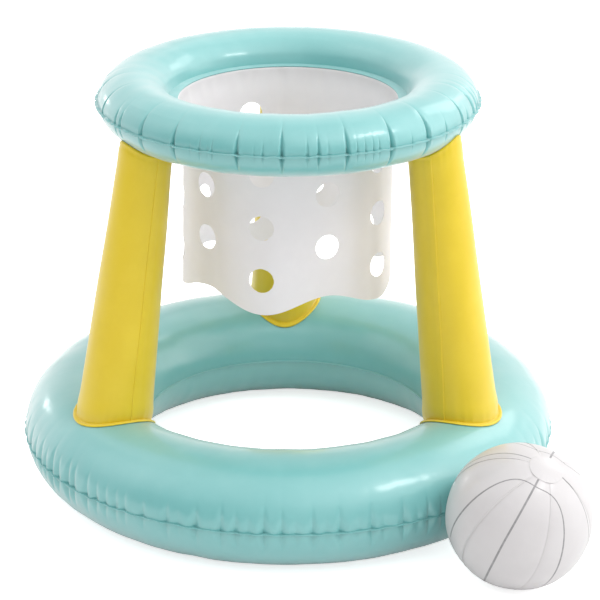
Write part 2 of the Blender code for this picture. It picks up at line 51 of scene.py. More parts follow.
Ring = namedtuple("Ring", "mid_radius half_width half_height height")
BASE_RING_CAD = Ring(0.2612, 0.0748, 0.0672, 0.066)
TOP_RING = Ring(0.1902, 0.043, 0.0356, 0.496)
LEDGE_INNER_RADIUS = 0.1354
FILM = 0.0004
WELD_GAP = 0.0003
LEG_AZIMUTHS_DEG = {"leg_back": 91.2, "leg_left": 210.0, "leg_right": 330.0}
LEG_HEAD_RADIUS = 0.031
LEG_FOOT_INSET = 0.0127
LEG_HEAD_OUTSET = 0.0073
FOOT_FLANGE_WIDTH = 0.0045
NET_FILM = 0.0004
NET_WAIST_RADIUS = 0.1293
NET_WAIST_DEPTH = 0.022
NET_WELD_WIDTH = 0.004
NET_BEND_RADIUS = 0.0015
NET_MEAN_LENGTH = 0.226
NET_HEM_WAVE = 0.0105
NET_FOLD_DEPTH = 0.002
NET_HOLE_RADIUS = 0.0155
NET_HOLE_PITCH = 0.067
NET_LONG_COLUMN_FIRST = 0.0585
NET_SHORT_COLUMN_FIRST = 0.0848
NET_COLUMN_PAIRS = 5
NET_SIDE_SEAM_DEG = 93.7
VALVE_HOLE_RADIUS = 0.0095
BASE_VALVE_PHI_DEG = 35.0
TOP_VALVE_PHI_DEG = 24.0
BASE_VALVE_AZIMUTH_DEG = 125.0
TOP_VALVE_AZIMUTH_DEG = 112.0
BALL_RADIUS = 0.086
BALL_REACH = 0.42344
BALL_AZIMUTH_DEG = -50.4
BALL_CENTRE = np.array([
    BALL_REACH * math.cos(radians(BALL_AZIMUTH_DEG)),
    BALL_REACH * math.sin(radians(BALL_AZIMUTH_DEG)),
    BALL_RADIUS,
])
BALL_GORES = 6
BALL_POLE_ELEVATION_DEG = 62.4
BALL_POLE_AZIMUTH_DEG = -48.8
BALL_ROLL_DEG = -59.7
BALL_CAP_RADIUS = 0.021
BALL_POLE_OPENING = 0.0065
BALL_VALVE_LATITUDE_DEG = 20.0
BALL_VALVE_LONGITUDE_DEG = 180.0

# Sizes read off the photograph, or finer than the CAD

BASE_RING = BASE_RING_CAD._replace(half_width=0.0758)
SEAM_SEEN_GAP = 0.00008     # the two films of a ring look welded shut
LEG_FOOT_SEEN_RADIUS = 0.0455
# How much farther out than in the CAD a leg's foot is, and how much farther along +X its head is
LEG_FOOT_OUT = {"leg_back": 0.0035, "leg_left": 0.0, "leg_right": -0.0015}
LEG_HEAD_ASIDE = {"leg_back": 0.0, "leg_left": 0.0022, "leg_right": 0.0032}
BALL_LAP = 0.002            # each gore laps this far over its neighbour
BALL_LAP_LIFT = 0.0005
SHARP_DEG = 38.0            # an edge that turns more than this is shaded as a rim


# Mesh builders


def add_object(name, data):
    obj = bpy.data.objects.new(name, data)
    bpy.context.scene.collection.objects.link(obj)
    return obj


def make_object(name, verts, quads, tris, material):
    """Mesh object from point and face arrays, turned outwards and smooth except at sharp rims."""
    verts = np.asarray(verts, float)
    quads = np.asarray(quads, np.int32).reshape(-1, 4)
    tris = np.asarray(tris, np.int32).reshape(-1, 3)
    fans = np.concatenate([tris, quads[:, [0, 1, 2]], quads[:, [0, 2, 3]]])
    a, b, c = (verts[fans[:, i]] for i in range(3))
    if np.einsum("ij,ij->i", a, np.cross(b, c)).sum() < 0.0:
        quads, tris = quads[:, ::-1], tris[:, ::-1]
    mesh = bpy.data.meshes.new(name)
    mesh.vertices.add(len(verts))
    mesh.vertices.foreach_set("co", verts.astype(np.float32).ravel())
    corners = np.concatenate([quads.ravel(), tris.ravel()])
    mesh.loops.add(len(corners))
    mesh.loops.foreach_set("vertex_index", corners)
    starts = np.concatenate([np.arange(len(quads)) * 4, len(quads) * 4 + np.arange(len(tris)) * 3])
    mesh.polygons.add(len(starts))
    mesh.polygons.foreach_set("loop_start", starts.astype(np.int32))
    mesh.update(calc_edges=True)
    mesh.validate()
    mesh.shade_smooth()
    mesh.set_sharp_from_angle(angle=radians(SHARP_DEG))
    mesh.materials.append(material)
    return add_object(name, mesh)


def sheet_object(name, front, back, quads, tris, material):
    """A film with a front skin, a back skin and a rim along every free edge."""
    count = len(front)
    quads = np.asarray(quads, np.int64).reshape(-1, 4)
    tris = np.asarray(tris, np.int64).reshape(-1, 3)
    edges = np.concatenate(
        [quads[:, [i, (i + 1) % 4]] for i in range(4)] + [tris[:, [i, (i + 1) % 3]] for i in range(3)]
    )
    keys = np.sort(edges, axis=1)
    keys = keys[:, 0] * (2 * count) + keys[:, 1]
    _, first, uses = np.unique(keys, return_index=True, return_counts=True)
    free = edges[first[uses == 1]]
    rim = np.stack([free[:, 1], free[:, 0], free[:, 0] + count, free[:, 1] + count], axis=1)
    all_quads = np.concatenate([quads, quads[:, ::-1] + count, rim])
    all_tris = np.concatenate([tris, tris[:, ::-1] + count])
    return make_object(name, np.concatenate([front, back]), all_quads, all_tris, material)


def grid_quads(columns, rows, round_columns, round_rows=False):
    """Faces of a grid whose point (i, j) has the number i * rows + j, closed where it says round."""
    i = np.arange(columns if round_columns else columns - 1)[:, None]
    j = np.arange(rows if round_rows else rows - 1)[None, :]
    ahead, above = (i + 1) % columns, (j + 1) % rows
    quads = np.stack([i * rows + j, ahead * rows + j, ahead * rows + above, i * rows + above], axis=-1)
    return quads.reshape(-1, 4)


def place(obj, body, slot, *nodes):
    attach(obj, body)
    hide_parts(*nodes)


def waves(angle, terms):
    """Sum of sines round a ring, each given by its height, its count and its phase."""
    return sum(height * np.sin(count * angle + phase) for height, count, phase in terms)


def hump(value, centre, width):
    return np.exp(-(((value - centre) / width) ** 2))


def decay(value, height, reach):
    return height * np.exp(-value / reach)


def wrap(angle):
    return (angle + math.pi) % math.tau - math.pi


def turned(radius, azimuth, height):
    """Points by their distance from the hoop's axis, their azimuth and their height."""
    return np.stack([radius * np.cos(azimuth), radius * np.sin(azimuth), height], axis=-1)


# Surfaces


def ring_xyz(ring, azimuth, phi, lift):
    """Point on a ring's tube, phi up from its outer side, lifted off the surface along its normal."""
    azimuth, phi, lift = np.broadcast_arrays(np.asarray(azimuth, float), np.asarray(phi, float), lift)
    normal_out = np.cos(phi) / ring.half_width
    normal_up = np.sin(phi) / ring.half_height
    length = np.hypot(normal_out, normal_up)
    radius = ring.mid_radius + ring.half_width * np.cos(phi) + lift * normal_out / length
    height = ring.height + ring.half_height * np.sin(phi) + lift * normal_up / length
    return turned(radius, azimuth, height)


def crest_xyz(ring, x, y, lift, side):
    """Point on a ring's top (side 1) or underside (side -1) over x, y."""
    across_share = np.clip((np.hypot(x, y) - ring.mid_radius) / ring.half_width, -1.0, 1.0)
    return ring_xyz(ring, np.arctan2(y, x), side * np.arccos(across_share), lift)


def arc_table(ring):
    """Angles up the tube and the length of tube from the outer seam to each."""
    phi = np.linspace(0.0, math.pi, 2001)
    step = np.hypot(ring.half_width * np.sin(phi), ring.half_height * np.cos(phi))
    length = np.concatenate([[0.0], np.cumsum((step[1:] + step[:-1]) / 2 * np.diff(phi))])
    return phi, length


RIPPLE_TERMS = 14
RIPPLE_LENGTHS = (0.035, 0.16)
RIPPLE_CLIMB = 0.6          # the most that a ripple slants across the tube


def ripple(azimuth, along, seed, amplitude, radius):
    """Low wandering swell of a film that air presses out unevenly."""
    draw = np.random.default_rng(seed)
    total = np.zeros(np.broadcast_shapes(azimuth.shape, along.shape))
    for _ in range(RIPPLE_TERMS):
        length = draw.uniform(*RIPPLE_LENGTHS)
        count = round(math.tau * radius / length)
        climb = draw.uniform(-RIPPLE_CLIMB, RIPPLE_CLIMB) * math.tau / length
        total += np.cos(count * azimuth + climb * along + draw.uniform(0, math.tau))
    return amplitude * total / math.sqrt(RIPPLE_TERMS)


# Seam creases: azimuth in degrees, depth in millimetres, and a width factor where it isn't the usual one

Crease = namedtuple("Crease", "azimuth depth half_width reach_up reach_down")

TOP_CREASES_SEEN = (
    (-163.1, 2.8, 0.7), (-151.9, 1.8), (-148.8, 1.8), (-138, 3), (-125.1, 3), (-119.2, 0.5), (-116.2, 1),
    (-113.6, 0.5), (-112.2, 1), (-104.8, 3), (-99.8, 0.5), (-97.2, 1), (-91.8, 3), (-84.6, 1.5), (-81.3, 2),
    (-78.5, 0.8, 1.6), (-72.9, 3), (-70, 0.9), (-67.5, 0.9), (-65, 0.9), (-63.1, 0.8), (-58.8, 3),
    (-51.8, 0.6), (-45.2, 3.6), (-36.8, 1), (-27.2, 2.8, 0.8), (-22.9, 1, 1.6),
)
BASE_CREASES_SEEN = (
    (-169.5, 1.4), (-164.3, 1.6), (-160.1, 1.3), (-156.3, 1.6), (-153.2, 1.2), (-150.2, 2), (-147.2, 1.9),
    (-143.4, 2), (-141.1, 1.8), (-136.6, 1.4), (-133.6, 1.5), (-130.8, 1.2), (-128, 1.1), (-125.6, 1.1),
    (-121, 1.1), (-115.5, 1.4), (-112.9, 0.8, 1.5), (-109, 1.8), (-103.7, 1.5), (-100.6, 1.5),
    (-98, 0.8, 1.5), (-94.9, 1.8), (-91.3, 1.5), (-88.5, 0.8, 1.5), (-85.1, 1.6), (-82.5, 0.8, 1.5),
    (-79.5, 1.8), (-75.7, 0.8, 1.5), (-72.9, 1.8), (-70.3, 0.8, 1.5), (-65.9, 1.8), (-62.9, 0.8, 1.5),
    (-60.1, 1.8),
)


CREASE_VARY, CREASE_WIDTH_VARY = (0.85, 1.15), (0.85, 1.3)


def gather_creases(seen, unseen_from, unseen_to, spacing, depths, keep_clear, gain, width, reach):
    """The creases read off the photograph, and seeded ones round the side that it doesn't show.

    width and reach (up, then down the tube): millimetres, as a fixed part and a part per millimetre of depth.
    """
    clear, gap = keep_clear
    listed = [(*item, 1.0)[:3] for item in seen]
    azimuth = unseen_from
    while azimuth < unseen_to:
        depth = depths[rng.integers(len(depths))] * rng.uniform(*CREASE_VARY)
        if abs(azimuth - clear) > gap:
            listed.append((azimuth, depth, rng.uniform(*CREASE_WIDTH_VARY)))
        azimuth += rng.uniform(*spacing)
    creases = []
    for azimuth_deg, depth, factor in listed:
        depth = depth * gain
        half_width = (width[0] + width[1] * depth) * factor / 1000
        vary = rng.uniform(*CREASE_VARY)
        creases.append(Crease(
            radians(azimuth_deg), depth / 1000, half_width,
            (reach[0] + reach[1] * depth) * vary / 1000, (reach[2] + reach[3] * depth) * vary / 1000,
        ))
    return creases


TOP_CREASES = gather_creases(
    TOP_CREASES_SEEN, unseen_from=-17.0, unseen_to=192.0, spacing=(3.2, 8.5),
    depths=(0.6, 1.0, 2.0, 3.0, 3.0),
    keep_clear=(TOP_VALVE_AZIMUTH_DEG, 6.5), gain=2.1, width=(0.9, 0.18), reach=(10, 4.0, 8, 3.0),
)
BASE_CREASES = gather_creases(
    BASE_CREASES_SEEN, unseen_from=-57.0, unseen_to=187.0, spacing=(2.4, 4.6), depths=(0.8, 1.2, 1.5, 1.8),
    keep_clear=(BASE_VALVE_AZIMUTH_DEG, 3.0), gain=2.6, width=(2.8, 0.42), reach=(17, 3.8, 13, 3.0),
)
# A crease is a groove in a broader dip: width factor, reach factor and share of the depth
CREASE_LAYERS = ((1.0, 1.0, 0.85), (2.4, 1.9, 0.15))
CREASE_TIP_WIDTH = 0.25     # share of its width that it keeps where it runs out
CREASE_BANK = (0.20, 2.2, 1.1)      # the swell beside the groove: height, place and width
CREASE_OFFSETS = (0.0, 0.35, 0.75, 1.25, 2.0, 3.1)      # half widths at which a crease gets mesh columns
CLOSEST_COLUMNS = 0.00055


def crease_depth(azimuth, along, creases, side, radius):
    """How far each spot is drawn in by the creases: azimuth runs down the array and along runs across it."""
    depth = np.zeros((len(azimuth), len(along)))
    for crease in creases:
        across = wrap(azimuth - crease.azimuth) * radius
        near = np.abs(across) < 9 * crease.half_width
        reach = crease.reach_up if side > 0 else crease.reach_down
        for width_factor, reach_factor, share in CREASE_LAYERS:
            left = np.clip(1 - along / (reach * reach_factor), 0.0, 1.0)
            width = crease.half_width * width_factor * (CREASE_TIP_WIDTH + (1 - CREASE_TIP_WIDTH) * left)
            s = np.abs(across[near])[:, None] / width[None, :]
            groove = np.exp(-(s ** 1.5)) - CREASE_BANK[0] * hump(s, *CREASE_BANK[1:])
            depth[near] += share * crease.depth * left[None, :] ** 1.2 * groove
    return depth


def crease_stations(creases, ring, coarse):
    """Azimuths of the mesh's columns, close together across every crease."""
    radius = ring.mid_radius + ring.half_width
    marks = np.unique([
        (crease.azimuth + sign * offset * crease.half_width / radius) % math.tau
        for crease in creases for offset in CREASE_OFFSETS for sign in (-1, 1)
    ])
    kept = [marks[0]]
    for mark in marks[1:]:
        if (mark - kept[-1]) * radius > CLOSEST_COLUMNS:
            kept.append(mark)
    stations = []
    for start, end in zip(kept, kept[1:] + [kept[0] + math.tau]):
        pieces = max(1, math.ceil((end - start) * radius / coarse))
        stations += [start + (end - start) * i / pieces for i in range(pieces)]
    return np.array(stations)


# Ring films

# Mesh rows of the outer weld strip: place across it, and the share of a crease's depth that it takes up
STRIP = ((1.0, 0.4), (0.35, 0.8))
STRIP_ROWS = len(STRIP)
STRIP_WAVES = ((0.00035, 57, 1.0), (0.0003, 91, 0.0))
STRIP_CREASE_WAVE = 0.08
STRIP_WAVE_REACH = 0.004
LEDGE_ROWS = (0.12, 0.55, 1.0)          # places of the inner strip's mesh rows across it
LEDGE_WAVES = ((0.00035, 23, 0.0), (0.0003, 41, 2.0))
SEAM_MARGIN = 0.0008
SWELL_MARGIN, SWELL_FADE = 0.002, 0.02
VALLEY_REACH = 0.0045
NORMAL_STEP = 0.001


def make_ring_film(
    name, ring, strips, creases, stations, tube_rows, side, valve, flat, swell, valley_depth, material
):
    """One half of a ring: outer weld strip, creased tube and inner weld strip, as a thin closed film."""
    seam = SEAM_SEEN_GAP / 2
    strip_out, strip_in = strips
    outer_radius = ring.mid_radius + ring.half_width
    inner_radius = ring.mid_radius - ring.half_width
    phi_table, length_table = arc_table(ring)
    root = math.asin((seam + FILM) / ring.half_height)
    whole = length_table[-1]
    rows = [t for t in tube_rows if SEAM_MARGIN < t < whole - SEAM_MARGIN]
    phis = np.concatenate([[root], np.interp(rows, length_table, phi_table), [math.pi - root]])
    first, last = STRIP_ROWS, STRIP_ROWS + len(phis)
    along = np.concatenate([[0.0] * (STRIP_ROWS + 1), rows, [whole] * (len(LEDGE_ROWS) + 1)])
    columns = len(stations)
    pull = crease_depth(stations, along, creases, side, outer_radius)
    fade = np.clip((along - SWELL_MARGIN) / SWELL_FADE, 0.0, 1.0)
    fade = fade * np.clip((whole - along - SWELL_MARGIN) / SWELL_FADE, 0.0, 1.0)
    swell_seed, swell_height = swell
    bulge = ripple(stations[:, None], along[None, :], swell_seed + side, swell_height, outer_radius) * fade
    valley = decay(along, valley_depth, VALLEY_REACH)
    strip_wave = waves(stations, STRIP_WAVES) - STRIP_CREASE_WAVE * pull[:, first]
    ledge_wave = waves(stations, LEDGE_WAVES)

    def skin(tube_lift, strip_height):
        tube = ring_xyz(ring, 0.0, side * phis, tube_lift)
        normal = (ring_xyz(ring, 0.0, side * phis, tube_lift + NORMAL_STEP) - tube) / NORMAL_STEP
        radius = np.zeros((columns, len(along)))
        height = np.zeros_like(radius)
        offset = bulge[:, first:last] - pull[:, first:last] - valley[None, first:last]
        radius[:, first:last] = tube[:, 0] + normal[:, 0] * offset
        height[:, first:last] = tube[:, 2] + normal[:, 2] * offset
        shift = pull[:, first] + valley[first]
        for k, (share, taken) in enumerate(STRIP):
            radius[:, k] = outer_radius + strip_out * share - shift * taken
            height[:, k] = ring.height + side * strip_height + strip_wave
        height[:, first:last] += strip_wave[:, None] * decay(along[first:last], 1.0, STRIP_WAVE_REACH)
        for k, share in enumerate(LEDGE_ROWS):
            radius[:, last + k] = inner_radius - strip_in * share
            height[:, last + k] = ring.height + side * strip_height + ledge_wave * share * (1 - share) * 2
        if flat:
            height = np.maximum(height, 0.0 if tube_lift == 0.0 else FILM)
        return radius, height

    radius, height = skin(0.0, seam + FILM)
    inner, inner_height = skin(-FILM, seam)
    count_rows = radius.shape[1]

    front = turned(radius, stations[:, None], height).reshape(-1, 3)
    back = turned(inner, stations[:, None], inner_height).reshape(-1, 3)
    quads = grid_quads(columns, count_rows, True)
    if valve is not None:
        front, back, quads = open_valve_hole(ring, valve, stations, phis, count_rows, front, back, quads)
    return sheet_object(name, front, back, quads, [], material)


VALVE_PATCH_REACH = 0.0145
VALVE_PATCH_LOOPS = (0.4, 0.75, 1.0)    # how far towards the hole each loop of new points lies


def open_valve_hole(ring, valve, stations, phis, row_count, front, back, quads):
    """Take a patch of faces out round a valve and fill it with loops that end in a round hole."""
    azimuth, phi = radians(valve.azimuth), radians(valve.phi)
    radius = ring.mid_radius + ring.half_width * math.cos(phi)
    phi_length = math.hypot(ring.half_width * math.sin(phi), ring.half_height * math.cos(phi))
    across = wrap(stations - azimuth) * radius
    up = (phis - phi) * phi_length
    inside = [k for k in range(len(stations)) if abs(across[k]) < VALVE_PATCH_REACH]
    i0, i1 = inside[0] - 1, inside[-1] + 1
    inside_rows = [k for k in range(len(phis)) if abs(up[k]) < VALVE_PATCH_REACH]
    j0, j1 = inside_rows[0] - 1 + STRIP_ROWS, inside_rows[-1] + 1 + STRIP_ROWS
    column = quads[:, 0] // row_count
    row = quads[:, 0] % row_count
    keep = ~((column >= i0) & (column < i1) & (row >= j0) & (row < j1))
    quads = quads[keep]
    loop = [(i, j0) for i in range(i0, i1)] + [(i1, j) for j in range(j0, j1)]
    loop += [(i, j1) for i in range(i1, i0, -1)] + [(i0, j) for j in range(j1, j0, -1)]
    edge = np.array([i * row_count + j for i, j in loop])
    flat = np.array([(across[i], up[j - STRIP_ROWS]) for i, j in loop])
    angle = np.arctan2(flat[:, 1], flat[:, 0])
    hole = VALVE_HOLE_RADIUS * np.stack([np.cos(angle), np.sin(angle)], axis=1)
    previous = edge
    total = len(front)
    fronts, backs, extra = [front], [back], [quads]
    for share in VALVE_PATCH_LOOPS:
        spot = flat * (1 - share) + hole * share
        a = azimuth + spot[:, 0] / radius
        p = phi + spot[:, 1] / phi_length
        fronts.append(ring_xyz(valve.ring, a, p, 0.0))
        backs.append(ring_xyz(valve.ring, a, p, -FILM))
        current = total + np.arange(len(edge))
        total += len(edge)
        extra.append(np.stack([previous, np.roll(previous, -1), np.roll(current, -1), current], axis=1))
        previous = current
    return np.concatenate(fronts), np.concatenate(backs), np.concatenate(extra)


Valve = namedtuple("Valve", "ring azimuth phi")     # angles in degrees


def spaced(*spans):
    """Row places: (from, to, step) spans joined."""
    out = []
    for start, end, step in spans:
        out += list(np.arange(start, end - step / 4, step))
    return out


def make_rings(material):
    base_rows = spaced(
        (0.0009, 0.003, 0.0011), (0.0035, 0.012, 0.0021), (0.012, 0.036, 0.003), (0.036, 0.07, 0.0068),
        (0.07, 0.224, 0.0105),
    )
    top_rows = spaced(
        (0.0009, 0.003, 0.0011), (0.0035, 0.012, 0.0018), (0.012, 0.032, 0.0027), (0.032, 0.12, 0.0062)
    )
    base_stations = crease_stations(BASE_CREASES, BASE_RING, 0.0042)
    top_stations = crease_stations(TOP_CREASES, TOP_RING, 0.0036)
    base_valve = Valve(BASE_RING_CAD, BASE_VALVE_AZIMUTH_DEG, BASE_VALVE_PHI_DEG)
    top_valve = Valve(TOP_RING, TOP_VALVE_AZIMUTH_DEG, TOP_VALVE_PHI_DEG)
    base = (BASE_RING, (0.0017, 0.003), BASE_CREASES, base_stations, base_rows)
    top = (TOP_RING, (0.0042, 0.0118), TOP_CREASES, top_stations, top_rows)
    # name, ring's values, side, valve, flattened by the floor, seed and height of the swell, valley's depth
    jobs = (
        ("base_ring_upper", base, 1, base_valve, False, (100, 0.00022), 0.0005),
        ("base_ring_lower", base, -1, None, True, (110, 0.00022), 0.0005),
        ("top_ring_upper", top, 1, top_valve, False, (120, 0.0002), 0.0001),
        ("top_ring_lower", top, -1, None, False, (130, 0.0002), 0.0001),
    )
    for name, ring_job, *side_job in jobs:
        film = make_ring_film(name, *ring_job, *side_job, material)
        place(film, "hoop", "teal_vinyl", name + "_film")


# Legs

LegSeam = namedtuple("LegSeam", "foot_deg head_deg raised")
# Azimuth of a leg's lapped seam at the foot and at the head, and which way round the film on top runs
LEG_SEAMS = {
    "leg_back": LegSeam(207, 207, 1),
    "leg_left": LegSeam(299, 298, 1),
    "leg_right": LegSeam(241, 260, -1),
}
LEG_LAP_WIDTH = 0.011
LEG_LAP_HEIGHT = 0.0009
LEG_LAP_STEP = 0.010        # radians between the two columns that make the step
# Mesh columns, as angles from the seam, and mesh rows, as shares of the height
LEG_TURNS = np.concatenate([
    [0.0, LEG_LAP_STEP, 0.03, 0.07, 0.12, 0.17, 0.22, 0.26, 0.30], np.linspace(0.34, math.tau - 0.06, 148),
    [math.tau - 0.02],
])
LEG_SHARES = np.concatenate([
    [0.0015, 0.004, 0.007, 0.011, 0.016, 0.023, 0.032, 0.045], np.linspace(0.065, 0.9, 34),
    [0.92, 0.938, 0.953, 0.966, 0.976, 0.984, 0.990, 0.9955],
])
LEG_WALL = 0.0011
LEG_FOOT_LIFT, LEG_HEAD_LIFT = 0.0016, 0.0008       # gaps between the wall's ends and the rings
# The flange's edge is rolled into one rounded lip: distance in from the edge, lift off the base ring
LEG_LIP = (
    (0.0006, 0.0009), (0.0005, 0.0002), (0.0, 0.0006), (-0.0002, 0.0013), (0.0002, 0.0020),
    (0.0011, 0.0025), (0.0022, 0.0025), (0.0032, 0.0020), (0.0039, 0.0014),
)
LEG_LIP_WAVE, LEG_LIP_STILL = 0.0001, 0.0009        # points lifted no more than the second don't wave
# Rows that close the wall: inner side at the foot, then outer, inner and outer at the head
LEG_ENDS = ((0.0012, 0.0009), (0.0006, 0.0004), (0.005, 0.0007), (0.0045, 0.0002))
# Bulges (height, distance from the leg's end, width) and the dip at the flange's weld (depth, reach)
LEG_FOOT_BULGE = (0.0011, 0.013, 0.009)
LEG_FOOT_DIP = (0.0010, 0.0035)
LEG_HEAD_BULGES = ((0.0006, 0.012, 0.008), (0.0006, 0.0, 0.004), (-0.0006, 0.006, 0.0009))
LEG_FOOT_FOLDS, LEG_HEAD_FOLDS = (0.00022, 0.010), (0.00024, 0.009)     # height, reach
LEG_PUCKERS = 9
PATCH_RADII = (0.006, 0.02, 0.034, 0.042, 0.046)        # the first is the air port's
PATCH_RIM = (0.0012, 0.0009)            # distances of its last two rows from the flange's edge
PATCH_LIFTS = (0.0003, 0.0006, 0.0008)      # of its underside, its rim and its top


def leg_centres(name, azimuth_deg):
    """Centres of a leg's foot and head, seen from above."""
    azimuth = radians(azimuth_deg)
    direction = np.array([math.cos(azimuth), math.sin(azimuth)])
    foot_radius = BASE_RING.mid_radius - LEG_FOOT_INSET + LEG_FOOT_OUT[name]
    head = direction * (TOP_RING.mid_radius + LEG_HEAD_OUTSET) + np.array([LEG_HEAD_ASIDE[name], 0.0])
    return direction * foot_radius, head


def make_turned(name, loops, material, node):
    """A leg's piece from the loops of points round it, the last of which joins the first."""
    profile = np.stack(loops, axis=1)
    quads = grid_quads(profile.shape[0], profile.shape[1], True, True)
    place(make_object(name, profile.reshape(-1, 3), quads, [], material), "hoop", "yellow_vinyl", node)


def make_leg(name, azimuth_deg, material, seed):
    foot, head = leg_centres(name, azimuth_deg)
    seam = LEG_SEAMS[name]
    turns = seam.raised * LEG_TURNS
    columns = len(turns)
    draw = np.random.default_rng(seed)

    def columns_at(share):
        """Angle and direction of every column, counted from the seam at this share of the height."""
        angle = radians(seam.foot_deg * (1 - share) + seam.head_deg * share) + turns
        return angle, np.stack([np.cos(angle), np.sin(angle)], axis=1)

    def foot_at(radius, lift, out=columns_at(0.0)[1]):
        return crest_xyz(BASE_RING, foot[0] + radius * out[:, 0], foot[1] + radius * out[:, 1], lift, 1)

    def head_at(radius, lift, out=columns_at(1.0)[1]):
        return crest_xyz(TOP_RING, head[0] + radius * out[:, 0], head[1] + radius * out[:, 1], lift, -1)

    pucker = np.zeros(columns)
    for _ in range(LEG_PUCKERS):
        count = draw.integers(9, 34)
        pucker += np.cos(count * turns + draw.uniform(0, math.tau)) / math.sqrt(LEG_PUCKERS)
    length = np.linalg.norm(
        head_at(LEG_HEAD_RADIUS, LEG_HEAD_LIFT) - foot_at(LEG_FOOT_SEEN_RADIUS, LEG_FOOT_LIFT), axis=1
    ).mean()
    flange_edge = LEG_FOOT_SEEN_RADIUS + FOOT_FLANGE_WIDTH
    rim_wave = LEG_LIP_WAVE * pucker
    outer = [
        foot_at(flange_edge - inward, lift + (rim_wave if lift > LEG_LIP_STILL else 0.0))
        for inward, lift in LEG_LIP
    ]
    (inward, lift), *head_ends = LEG_ENDS
    inner = [foot_at(LEG_FOOT_SEEN_RADIUS - inward, lift)]
    for share in LEG_SHARES:
        angle, out = columns_at(share)
        low = foot_at(LEG_FOOT_SEEN_RADIUS, LEG_FOOT_LIFT, out)
        spot = low * (1 - share) + head_at(LEG_HEAD_RADIUS, LEG_HEAD_LIFT, out) * share
        radius = LEG_FOOT_SEEN_RADIUS * (1 - share) + LEG_HEAD_RADIUS * share
        off = np.abs(turns) * radius / LEG_LAP_WIDTH
        lap = np.where((np.abs(turns) >= LEG_LAP_STEP) & (off < 1.0), LEG_LAP_HEIGHT * (1 - off ** 2), 0.0)
        from_foot, from_head = share * length, length - share * length
        belly = LEG_FOOT_BULGE[0] * hump(from_foot, *LEG_FOOT_BULGE[1:]) - decay(from_foot, *LEG_FOOT_DIP)
        belly += sum(height * hump(from_head, *place) for height, *place in LEG_HEAD_BULGES)
        folds = decay(from_foot, *LEG_FOOT_FOLDS) + decay(from_head, *LEG_HEAD_FOLDS)
        swell = 0.0003 * np.cos(3 * angle + 9 * share) + 0.00022 * np.cos(5 * angle - 14 * share + seed)
        swell = swell * math.sin(math.pi * share) + pucker * folds + belly + lap
        flat = np.zeros((columns, 1))
        spot = spot + np.concatenate([out * swell[:, None], flat], axis=1)
        outer.append(spot)
        inner.append(spot - np.concatenate([out * LEG_WALL, flat], axis=1))
    for rows, (inward, lift) in zip((outer, inner, outer), head_ends):
        rows.append(head_at(LEG_HEAD_RADIUS - inward, lift))
    make_turned(name + "_tube", outer + inner[::-1], material, name + "_film")

    radii = PATCH_RADII + tuple(flange_edge - inward for inward in PATCH_RIM)
    low_lift, rim_lift, top_lift = PATCH_LIFTS
    top_skin = [foot_at(radius, top_lift) for radius in radii[:-1]] + [foot_at(radii[-1], rim_lift)]
    low_skin = [foot_at(radius, low_lift) for radius in radii]
    make_turned(name + "_foot_disc", top_skin + low_skin[::-1], material, name + "_foot_patch")


# Net skirt


def net_path(depth):
    """Radius and height at a depth below the bend, and the way that the inner face looks."""
    top = TOP_RING.height - WELD_GAP / 2 - FILM - WELD_GAP - NET_FILM / 2
    top_radius = LEDGE_INNER_RADIUS - WELD_GAP - NET_FILM / 2
    bend_length = NET_BEND_RADIUS * math.pi / 2
    turn = np.clip(depth / NET_BEND_RADIUS, 0.0, math.pi / 2)
    drop = np.maximum(depth - bend_length, 0.0)
    ease_share = np.exp(-((drop / NET_WAIST_DEPTH) ** 2))
    hanging = NET_WAIST_RADIUS + (top_radius - NET_WAIST_RADIUS) * ease_share
    bent = top_radius + NET_BEND_RADIUS * (1 - np.sin(turn)) + np.maximum(-depth, 0.0)
    radius = np.where(depth < bend_length, bent, hanging)
    height = top - NET_BEND_RADIUS * (1 - np.cos(turn)) - drop
    return radius, height, -np.sin(turn), np.cos(turn)


def net_wave(azimuth):
    start = radians(NET_SIDE_SEAM_DEG) + math.pi / NET_COLUMN_PAIRS / 2
    return np.cos(NET_COLUMN_PAIRS * (azimuth - start))


# Soft folds of the hanging vinyl: azimuth in degrees, half width in degrees, how far in (metres) at the hem

NET_FOLDS = (
    (-136.5, 4.5, -0.0012), (-127, 6, 0.0007), (-146, 5, 0.0006), (-38, 4, -0.0011), (-30, 4.5, 0.0009),
    (-96, 11, 0.0010), (-66, 8, -0.0008), (8, 6, -0.0020), (40, 9, 0.0014), (77, 6, -0.0018),
    (121, 9, 0.0012), (158, 6, -0.0020), (184, 7, 0.0015), (-13, 13, 0.0018),
)
# Small lumps under the weld: height, depth and width of their band, and their waves
NET_LUMP_HEIGHT = 0.0005
NET_LUMP_BAND = (0.014, 0.011)
NET_LUMPS = ((0.5, 31, 1.0), (0.35, 47, 0.0), (0.4, 19, 2.0))
NET_SEAM_HEIGHT, NET_SEAM_WIDTH = 0.0004, 0.003
NET_COLUMNS, NET_ROWS, NET_HOLE_POINTS = 200, 56, 48
NET_HOLE_LOOPS = (1.0, 1.05)
NET_HOLE_CLEAR, NET_HOLE_CUT = 1.13, 0.985      # no loose point, and no face's middle, lies nearer
NET_HEM_ROW, NET_HEM_CLEAR = 0.0012, 0.003


